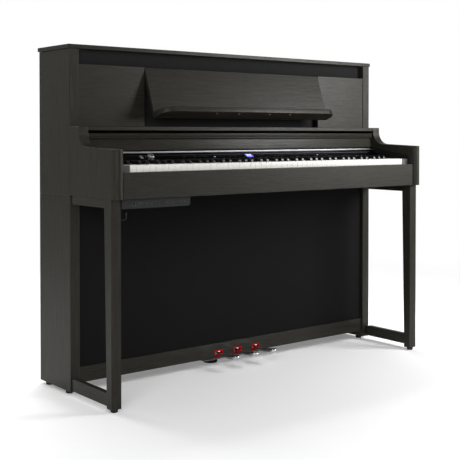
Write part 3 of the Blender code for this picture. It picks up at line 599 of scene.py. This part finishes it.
def build_keys():
    """All eighty-eight keys: the hinged octave key by key and the rest as two sets of each colour."""
    for name, first, last in (("low", 0, FREE_KEYS[0] - 1), ("high", FREE_KEYS[1] + 1, WHITE_KEYS - 1)):
        span = range(first, last + 1)
        piece(f"white_keys_{name}", [white_key(i) for i in span], RESIN, "case",
                (f"keys_{name}",), 18)
        centres = [black_centre(i) for i in span if i < last]
        piece(f"black_keys_{name}", [black_key(c) for c in centres if c is not None], EBONY,
                "case",
              (f"keys_{name}",))
    for index in range(FREE_KEYS[0], FREE_KEYS[1] + 1):
        note = f"{NOTES[index % 7].lower()}4"
        piece(f"white_key_{note}", [white_key(index)], RESIN, f"{note} key",
                (f"key_{note}",), 18)
        centre = black_centre(index)
        if centre is not None:
            piece(f"black_key_{note}", [black_key(centre)], EBONY, f"{note}_sharp key",
                  (f"key_{note}_sharp",))


# ---- control panel ------------------------------------------------------------------------
PANEL_LOW = np.array([0, -61.5 * MM, 749 * MM])
PANEL_HIGH = np.array([0, -30 * MM, 765.5 * MM])
PANEL_RUN = (PANEL_HIGH - PANEL_LOW) / np.linalg.norm(PANEL_HIGH - PANEL_LOW)
PANEL_OUT = np.array([0, -PANEL_RUN[2], PANEL_RUN[1]])
PANEL_MIDDLE = (PANEL_LOW + PANEL_HIGH) / 2


def on_panel(shell, x, along=0.0, lift=0.0):
    """Lay a shell made flat at the origin on the sloping panel: its Y runs up the slope, its Z out."""
    points, faces = shell
    base = PANEL_MIDDLE + along * PANEL_RUN + lift * PANEL_OUT + np.array([x, 0, 0])
    return base + points[:, :1] * [1, 0, 0] + points[:, 1:2] * PANEL_RUN + points[:, 2:] * PANEL_OUT, faces


def mark(x, along, width, height, radius=0.35 * MM):
    """Thin raised print on the panel, a bar with round ends."""
    outline = rounded((-width / 2, width / 2), (-height / 2, height / 2),
            min(radius, 0.49 * height, 0.49 * width), 3)
    return on_panel(slab(outline, -0.05 * MM, 0.12 * MM, 0.05 * MM, "z", 1), x, along)


def build_controls():
    """Trim strip, power button, volume dial, display and touch marks."""
    low, high = box("panel_trim_strip")
    bead = np.concatenate([arc((-29.2, 770.4), 0.9, 180, 270, 3), [(-27, 769.5), (-27, 775.6)],
            arc((-28.7, 774.2), 1.4, 90, 180, 5)])
    piece("trim_bead", [slab(bead * MM, low.x, high.x, 0.2 * MM, "x", 1)], ANODISED,
            "case", crease=25)
    button_x = -461.5 * MM
    pill = rounded((-5.2 * MM, 5.2 * MM), (-9.2 * MM, 9.2 * MM), 4.8 * MM, 8)
    piece("power_button_cap", [on_panel(slab(pill, -3 * MM, 1.1 * MM, 0.7 * MM, "z", 4), button_x)],
            SILVER_ABS,
          "power button", ("power_button",))
    dial_x = -425.5 * MM
    skirt = [(0, 0.4 * MM), (10.6 * MM, 0.4 * MM), (11 * MM, 0.9 * MM), (11 * MM, 1.4 * MM, 1),
            (10.7 * MM, 6.4 * MM, 1),
             (10.2 * MM, 7.2 * MM), (9.2 * MM, 7.9 * MM), (8.4 * MM, 7.9 * MM), (8.0 * MM, 7.4 * MM),
             (0, 7.1 * MM)]
    centre = PANEL_MIDDLE + np.array([dial_x, 0, 0])
    piece("volume_dial_ring", [turned(skirt, centre, PANEL_OUT, 160, 40, 0.22 * MM)], SILVER_ABS,
          "volume dial", ("volume_dial",))
    cap = [(0, 7.0 * MM), (7.7 * MM, 7.0 * MM), (7.7 * MM, 7.5 * MM), (7.3 * MM, 7.8 * MM), (0, 8.0 * MM)]
    pointer = on_panel(slab(rounded((-0.5 * MM, 0.5 * MM), (3.2 * MM, 7.2 * MM), 0.45 * MM, 3),
            7.7 * MM, 8.15 * MM,
                            0.1 * MM), dial_x)
    piece("volume_dial_cap", [turned(cap, centre, PANEL_OUT, 48), pointer], ANODISED,
            "volume dial")
    bright = [mark(-163.9 * MM, -5 * MM, 9 * MM, 2.4 * MM, 1.1 * MM),
            mark(322 * MM, -5 * MM, 9 * MM, 2.4 * MM, 1.1 * MM)]
    bright += [mark(dial_x - 17 * MM, 4.5 * MM, 3 * MM, 0.8 * MM),
            mark(dial_x + 17 * MM, 4.5 * MM, 3 * MM, 0.8 * MM)]
    piece("panel_lit_marks", bright, PRINT_WHITE, "case")
    dots = [-292.7, -249.7, -228.6, -207.3, -142.7, -119.8, -98.5, -74.8, 126.3, 147.2, 191.7, 213.7,
            257.2, 280.2, 300.8,
            344.1, 367.3]
    dim = []
    for x in np.array(dots) * MM:
        dim.append(mark(x, 4.5 * MM, 1.5 * MM, 1.5 * MM, 0.7 * MM))
        dim.append(mark(x + 1.5 * MM, -3.2 * MM, 7 * MM, 0.9 * MM))
    # The touch marks are grey print with a faint painted glow.
    piece("panel_touch_marks", dim, GREY_PRINT_PAINTED_GLOW, "case")
    display_x = -7.5 * MM
    plate = on_panel(slab(rounded((-16 * MM, 16 * MM), (-11.4 * MM, 11.4 * MM), 1.2 * MM, 4), -3 * MM,
            0.05 * MM,
                          0.2 * MM), display_x)
    piece("display_glass", [plate], GLASS, "case", ("display_window",))
    glow = on_panel(slab(rounded((-15 * MM, 15 * MM), (-9.8 * MM, 9.8 * MM), 0.8 * MM, 3), -0.1 * MM,
            0.14 * MM, 0.05 * MM),
                    display_x)
    piece("display_light", [glow], DISPLAY_BLUE, "case")
    lines = [mark(display_x + x * MM, y * MM, w * MM, h * MM) for x, y, w, h in
             ((-5, 5.5, 14, 2.6), (7.5, 5.5, 7, 2.6), (-2, 0.8, 20, 1.6), (-6, -3.2, 12, 1.2),
             (6, -3.2, 6, 1.2),
              (-1, -6.6, 22, 1.0))]
    lines = [(points + 0.12 * MM * PANEL_OUT, faces) for points, faces in lines]
    piece("display_bars", lines, glowing("Back-lit display, white", "d8dcff", "f4f6ff", 1.4),
            "case")


# ---- key cover ----------------------------------------------------------------------------
def build_cover():
    """Front moulding of the key cover: a lip over two small beads, a shadow groove, a leaning face and
    a rounded foot."""
    low, high = box("cover_nose")
    lip = np.concatenate([arc((-24.6, 833.9), 1.3, 90, 180, 4), [(-25.9, 828.2), (-25.6, 827.6)]])
    beads = np.concatenate([arc((-25.2, 825.5), 2.1, 105, 250, 9), arc((-24.7, 819.6), 2.2, 110, 270, 9)])
    groove = np.array([(-21.4, 817.2), (-20.9, 816.6), (-20.8, 815.0)])
    t = np.linspace(0.03, 1, 10)[:, None]
    face = np.array([(-20.2, 814.4)]) * (1 - t) + np.array([(-29.6, 783.6)]) * t
    face[:, 0] += 0.9 * np.sin(math.pi * t[:, 0])
    foot = arc((-29.5, 780.2), 1.6, 120, 270, 8)
    rear = np.array([(-18.2, 778.6), (-17.4, 779.4), (-8.6, 812.5), (-8.6, 835.1)])
    outline = np.concatenate([lip, beads, groove, face, foot, rear]) * MM
    piece("cover_moulding", [slab(outline, low.x, high.x, 0.5 * MM, "x", 2)], FOIL_LEVEL,
            "key cover",
          ("cover_nose",), 40)


# ---- music rest ---------------------------------------------------------------------------
def build_music_rest():
    """Ledge with swept ends, page holders and the ledge's screws."""
    rear, front, foot, board = 28.7 * MM, -29.3 * MM, 878.3 * MM, 18 * MM
    half, front_half = 398 * MM, 354 * MM
    t = np.linspace(0, 1, 20)[:, None]
    start_point, bend, end = np.array([(half, rear - 6 * MM)]), np.array([(half - 4 * MM,
            front + 8 * MM)]), np.array([(front_half, front)])
    sweep = (1 - t) ** 2 * start_point + 2 * t * (1 - t) * bend + t ** 2 * end
    outline = np.concatenate([[(half, rear)], sweep, sweep[::-1] * (-1, 1), [(-half, rear)]])
    ledge = tipped(slab(outline, foot, foot + board, 1.4 * MM, "z", 4))
    piece("rest_ledge", [ledge], FOIL_LEVEL, "music rest", ("music_rest_ledge",), 40)
    screws = [tipped(turned(screw_profile(3.4 * MM), (x * MM, -12 * MM, foot), (0, 0, -1),
            24)) for x in (-168, -70, 70, 168)]
    piece("ledge_screws", screws, BRASS, "music rest")
    for word, side in (("left", -1), ("right", 1)):
        hinge_y, hinge_z = -19 * MM, foot + board + 3 * MM
        centre = side * 119 * MM
        plate = slab(rounded((centre - 44 * MM, centre + 44 * MM),
                (hinge_y - 0.2 * MM, hinge_y + 33.6 * MM), 5 * MM, 6),
                     hinge_z - 2.4 * MM, hinge_z - 0.4 * MM, 0.5 * MM)
        piece(f"page_clip_{word}", [tipped(plate)], CLIP_STEEL, f"{word} page holder",
              (f"page_holder_{word}",))


# ---- pedals -------------------------------------------------------------------------------
PEDAL_AXIS = (105 * MM, 49 * MM)
PEDAL_X = {"left": -82 * MM, "middle": 4 * MM, "right": 90 * MM}
PEDAL_STATIONS = [(-182.5, 0.4, 4.6, 6.4), (-181.6, 5.0, 2.2, 7.8), (-179, 9.0, -0.4, 9.4),
        (-173, 12.2, -4.2, 10.4),
                  (-160, 13.2, -7.2, 8.9), (-145, 13.0, -8.4, 6.2), (-125, 12.2, -8.4, 3.8),
                  (-100, 11.2, -6.6, 2.6),
                  (-60, 8.6, -4.2, 3.0), (-10, 6.9, -4.2, 4.0), (2, 6.9, -6, 6), (8, 6.9, -5.6, 5.6)]


def pedal(x):
    """Pedal: flat-topped oval sections (power 5) from tip to hub, whose half width, underside and top
    follow smooth curves through the stations."""
    line = curve_through(np.array(PEDAL_STATIONS) * MM, 90)
    a = np.linspace(0, TURN, 40, endpoint=False)
    c, s = np.cos(a), np.sin(a)
    wide = np.sign(c) * np.abs(c) ** (2 / 5)
    tall = np.sign(s) * np.abs(s) ** (2 / 5)
    half, under, top = line[:, 1:2], line[:, 2:3], line[:, 3:4]
    rings = np.stack([x + half * wide, np.broadcast_to(PEDAL_AXIS[0] + line[:, :1], (len(line), len(a))),
                      PEDAL_AXIS[1] + (under + top) / 2 + (top - under) / 2 * tall], -1)
    return loft(rings)


def felt_ring(x):
    """Felt round a pedal slot: a lining 4 mm deep in the slot and a flange 1.2 mm proud of the rail,
    drawn as one ring of rectangles. Its foot is thin, so that the pressed pedal clears it."""
    front = box("pedal_rail")[0].y
    inner = np.array(rectangle((x - 15 * MM, x + 15 * MM), (39.1 * MM, 56.6 * MM)))
    lining = np.array(rectangle((x - 17.8 * MM, x + 17.8 * MM), (38.9 * MM, 59.8 * MM)))
    flange = np.array(rectangle((x - 18.4 * MM, x + 18.4 * MM), (36.8 * MM, 60.6 * MM)))
    rings = [(inner, front + 4 * MM), (lining, front + 4 * MM), (lining, front), (flange, front),
             (flange, front - 0.9 * MM), (inset(flange, 0.3 * MM), front - 1.2 * MM),
             (inset(inner, -0.05 * MM), front - 1.2 * MM), (inner, front - 1.1 * MM), (inner, front + 4 * MM)]
    return loft(np.stack([np.stack([r[:, 0], np.full(4, y), r[:, 1]], 1) for r, y in rings]), caps=False)


def build_pedals():
    """Chrome levers, red felt and the adjuster that props the pedal bracket."""
    for word, x in PEDAL_X.items():
        piece(f"pedal_lever_{word}", [pedal(x)], CHROME, f"{word} pedal", (f"pedal_{word}",), 50)
    piece("pedal_felt", [felt_ring(x) for x in PEDAL_X.values()], RED_FELT, "case")
    low, high = box("pedal_adjuster")
    centre = ((low.x + high.x) / 2, (low.y + high.y) / 2, 0)
    r = (high.x - low.x) / 2 / MM
    knob = [(0, 0), (r - 3, 0), (r - 1.5, 0.6), (r - 0.8, 2.2, 1), (r - 0.8, 11, 1), (r - 2, 12.4),
            (13, 15.4), (12, 16), (6.2, 16),
            (5.9, 16.6), (5.9, 41.6), (5.4, 42), (0, 42)]
    profile = [(p[0] * MM, p[1] * MM, *p[2:]) for p in knob]
    piece("adjuster_foot", [turned(profile, centre, (0, 0, 1), 144, 24, 0.7 * MM)], RUBBER,
            "pedal foot",
          ("pedal_adjuster",))


# ---- fittings -----------------------------------------------------------------------------
def ring_frame(x, z, y):
    """Thin metal shell round a square socket: two rectangles 0.7 mm apart, joined into a ring."""
    outer = np.array(rectangle(x, z))
    inner = inset(outer, 0.7 * MM)
    rings = [(inner, y[1]), (outer, y[1]), (outer, y[0]), (inner, y[0]), (inner, y[1])]
    return loft(np.stack([np.stack([r[:, 0], np.full(4, level), r[:, 1]], 1) for r, level in rings]),
            caps=False)


def build_fittings():
    """Sockets, hook, speakers, inlet pins and the parts of the main board."""
    face = box("jack_box")[0].y
    collars, sleeves = [], []
    for x in (-515 * MM, -490 * MM, -437 * MM):
        centre = (x, face, 622.5 * MM)
        collar = [(3.9, -0.5), (6.4, -0.5), (6.4, 0.6), (5.7, 1.3), (4.6, 1.3), (3.9, 0.7), (3.9, -0.5)]
        collars.append(loft(turned([(r * MM, h * MM) for r, h in collar], centre, (0, -1, 0),
                40)[0].reshape(7, 40, 3), False))
        sleeve = [(2.9, -12), (3.45, -12), (3.45, 0.9), (3.2, 1.1), (2.9, 0.9), (2.9, -12)]
        sleeves.append(loft(turned([(r * MM, h * MM) for r, h in sleeve], centre, (0, -1, 0),
                32)[0].reshape(6, 32, 3), False))
    piece("socket_collars", collars, BLACK_ABS, "case")
    shells = [ring_frame((-608.8 * MM, -599.2 * MM), (618.2 * MM, 626.8 * MM),
            (face - 0.3 * MM, face + 9 * MM)),
              ring_frame((-586.3 * MM, -573.7 * MM), (620.2 * MM, 625.3 * MM),
              (face - 0.3 * MM, face + 11 * MM))]
    piece("socket_shells", sleeves + shells, STEEL, "case")
    tongues = [block((-606 * MM, -602 * MM), (face + 1 * MM, face + 9.5 * MM), (620.8 * MM, 624.2 * MM),
            0.5 * MM),
               block((-585 * MM, -575 * MM), (face + 1 * MM, face + 11.5 * MM),
               (620.9 * MM, 622.4 * MM), 0.4 * MM)]
    piece("socket_tongues", tongues, BLACK_ABS, "case")
    marks = []
    for x in (-540, -462, -415, -557):
        marks.append(turned([(0, -0.2 * MM), (1.1 * MM, -0.2 * MM), (1.1 * MM, 0.15 * MM), (0, 0.2 * MM)],
                            (x * MM, face, 622.5 * MM), (0, -1, 0), 20))
    # The socket marks are grey print with a faint painted glow.
    piece("socket_marks", marks, GREY_PRINT_PAINTED_GLOW, "case")
    bend = arc((-627, 581), 7, -90, 0, 10)
    wire = np.concatenate([[(-648.2, 574)], [(-638, 574)], bend, [(-620, 594)]]) * MM
    path = np.stack([wire[:, 0], np.full(len(wire), -204 * MM), wire[:, 1]], 1)
    flange = turned([(0, 0), (5.5 * MM, 0), (5.5 * MM, 0.8 * MM), (4.6 * MM, 1.4 * MM), (0, 1.4 * MM)],
                    (-648.9 * MM, -204 * MM, 574 * MM), (1, 0, 0), 32)
    piece("hook_wire", [tube(path, 2 * MM, 18), flange], CLIP_STEEL, "case", ("headphone_hook",))
    for word, side in (("left", -1), ("right", 1)):
        low, high = box(f"speaker_{word}")
        centre = ((low.x + high.x) / 2, low.y, (low.z + high.z) / 2)
        basket = [(0, 60), (44, 60), (45, 59), (45, 36), (46, 34), (67, 9), (69, 7), (79.4, 5.4),
                (80, 4.8), (80, 0.6), (79.4, 0),
                  (70, 0), (66, 1), (60, 3), (22, 11.5), (0, 11.5)]
        piece(f"speaker_driver_{word}", [turned([(r * MM, h * MM) for r, h in basket], centre,
                (0, 1, 0), 72)], PAPER_CONE,
              "case", (f"speaker_{word}",))
    inlet = box("power_inlet")
    middle = (inlet[0].x + inlet[1].x) / 2
    pins = [block((middle + x - 1 * MM, middle + x + 1 * MM), (217 * MM, 229 * MM),
            (z - 2 * MM, z + 2 * MM), 0.5 * MM)
            for x, z in ((-6 * MM, 699 * MM), (6 * MM, 699 * MM), (0, 702.5 * MM))]
    piece("inlet_pins", pins, STEEL, "case")
    top = box("main_board")[1].z
    chips = [block((x * MM, (x + w) * MM), (y * MM, (y + d) * MM), (top, top + h * MM), 0.6 * MM) for x,
            y, w, d, h in
             ((-120, 110, 34, 34, 3), (-60, 120, 22, 16, 3), (-20, 105, 40, 18, 8),
             (40, 110, 28, 28, 3), (90, 130, 36, 20, 12),
              (-60, 160, 60, 14, 5), (30, 165, 50, 16, 7))]
    piece("board_chips", chips, BLACK_ABS, "case")


build_case()
build_keys()
build_controls()
build_cover()
build_music_rest()
build_pedals()
build_fittings()


# ---- studio -------------------------------------------------------------------------------
def softbox(name, centre, target, size, power, tint="ffffff"):
    """Rectangular area light that faces a target."""
    light = bpy.data.lights.new(name, "AREA")
    light.shape = "RECTANGLE"
    light.size, light.size_y = size
    light.energy = power
    light.color = colour(tint)[:3]
    lamp = bpy.data.objects.new(name, light)
    bpy.context.scene.collection.objects.link(lamp)
    w = np.array(centre, float) - np.array(target, float)
    w /= np.linalg.norm(w)
    u = np.cross([0, 0, 1.0], w)
    u /= np.linalg.norm(u)
    v = np.cross(w, u)
    lamp.matrix_world = Matrix([[u[i], v[i], w[i], centre[i]] for i in range(3)] + [[0, 0, 0, 1]])
    return lamp


def build_studio():
    """White floor that fades into a white surround, six soft lights (right, front left, strip, left, top
    and rear top), a dim world that is white to the camera, and the camera."""
    floor_material, tree, shader = start("Studio floor, white paint", Roughness=0.7)
    shader.inputs["Base Color"].default_value = colour("f2f2f2")
    shader.inputs["Emission Color"].default_value = colour("ffffff")
    seen = add(tree, "ShaderNodeLightPath").outputs["Is Camera Ray"]
    lifted = add(tree, "ShaderNodeMath", {0: seen, 1: 0.2}, operation="MULTIPLY").outputs[0]
    tree.links.new(lifted, shader.inputs["Emission Strength"])
    place = add(tree, "ShaderNodeTexCoord").outputs["Object"]
    distance = add(tree, "ShaderNodeVectorMath", {0: place}, operation="LENGTH").outputs["Value"]
    fade = add(tree, "ShaderNodeMapRange", {"Value": distance, "From Min": 1.2, "From Max": 3.2},
               interpolation_type="SMOOTHSTEP").outputs[0]
    glow = add(tree, "ShaderNodeEmission", {"Color": (1, 1, 1, 1), "Strength": 1.0})
    melted = add(tree, "ShaderNodeMath", {0: fade, 1: seen}, operation="MULTIPLY").outputs[0]
    mixed = add(tree, "ShaderNodeMixShader", {0: melted, 1: shader.outputs[0], 2: glow.outputs[0]})
    tree.links.new(mixed.outputs[0], tree.nodes["Material Output"].inputs["Surface"])
    a = np.linspace(0, TURN, 96, endpoint=False)
    ring = np.stack([np.cos(a), np.sin(a), 0 * a], 1)
    mesh = bpy.data.meshes.new("floor")
    mesh.from_pydata((30.0 * ring).tolist(), [], [list(range(96))])
    mesh.materials.append(floor_material)
    floor = bpy.data.objects.new("floor", mesh)
    bpy.context.scene.collection.objects.link(floor)

    world = bpy.data.worlds.new("Studio surround")
    bpy.context.scene.world = world
    world.use_nodes = True
    tree = world.node_tree
    background = tree.nodes["Background"]
    direction = add(tree, "ShaderNodeTexCoord").outputs["Generated"]
    parts = add(tree, "ShaderNodeSeparateXYZ", {0: direction})
    behind = add(tree, "ShaderNodeMapRange", {"Value": parts.outputs["Y"], "From Min": 0.0, "From Max": 0.6,
                                              "To Min": 0.0, "To Max": 0.46}).outputs[0]
    around = add(tree, "ShaderNodeMath", {0: behind, 1: 0.02}, operation="ADD").outputs[0]
    seen = add(tree, "ShaderNodeLightPath").outputs["Is Camera Ray"]
    strength = add(tree, "ShaderNodeMix", {0: seen, 2: around, 3: 1.0}).outputs[0]
    tree.links.new(strength, background.inputs["Strength"])
    background.inputs["Color"].default_value = (1, 1, 1, 1)

    softbox("right light", (1.3, -1.15, 1.25), (0.5, 0, 0.8), (0.6, 1.0), 28)
    softbox("front left light", (-2.8, -2.4, 2.0), (-0.2, 0, 0.7), (1.4, 1.6), 48)
    softbox("strip light", (-2.5, -3.2, 1.2), (-0.6, 0, 0.7), (0.22, 1.8), 9)
    softbox("left light", (-3.6, 0.4, 1.5), (-0.6, 0, 0.7), (1.6, 1.8), 8)
    softbox("top light", (0.2, -0.6, 3.6), (0, -0.2, 0), (3.6, 3.2), 16)
    softbox("rear top light", (0.2, 1.8, 3.0), (0, 0, 0.4), (3.2, 1.6), 112)

    camera = bpy.data.cameras.new("camera")
    camera.lens = 74.066
    camera.sensor_width = 36
    camera.shift_y = -0.1676
    camera.clip_end = 100
    holder = bpy.data.objects.new("camera", camera)
    bpy.context.scene.collection.objects.link(holder)
    holder.location = (-2.1486, -2.6225, 0.8328)
    holder.rotation_euler = (math.pi / 2 - 0.02, 0, -0.6720)
    bpy.context.scene.camera = holder
    bpy.context.scene.view_settings.view_transform = "Standard"


build_studio()
